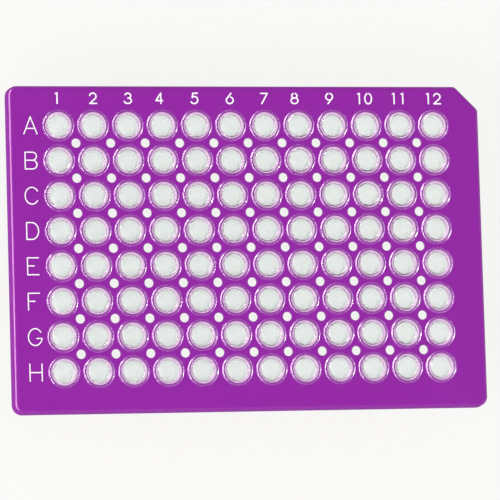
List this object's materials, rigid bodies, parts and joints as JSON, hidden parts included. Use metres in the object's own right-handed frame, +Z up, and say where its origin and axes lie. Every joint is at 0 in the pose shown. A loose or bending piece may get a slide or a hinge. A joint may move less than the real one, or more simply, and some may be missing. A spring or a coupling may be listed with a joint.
{
  "type": "well plate",
  "caption": "Short-skirted microplate: conical sample wells with raised sealing rims in a flat labelled deck, vent holes between them and one cut corner.",
  "frame": {"origin": "on the surface that the well tips stand on, under the middle of the plate", "axes": "+X along the long side from column 1 to column 12, +Y along the short side from row H to row A, +Z up out of the wells"},
  "size_m": [0.1248, 0.0842, 0.0207],
  "materials": {
    "frame": "smooth moulded purple plastic, glossy",
    "wells": "natural translucent polypropylene, smooth",
    "print": "thin white printed ink"
  },
  "bodies": {
    "root": {"well_plate": "frame"}
  },
  "joints": []
}
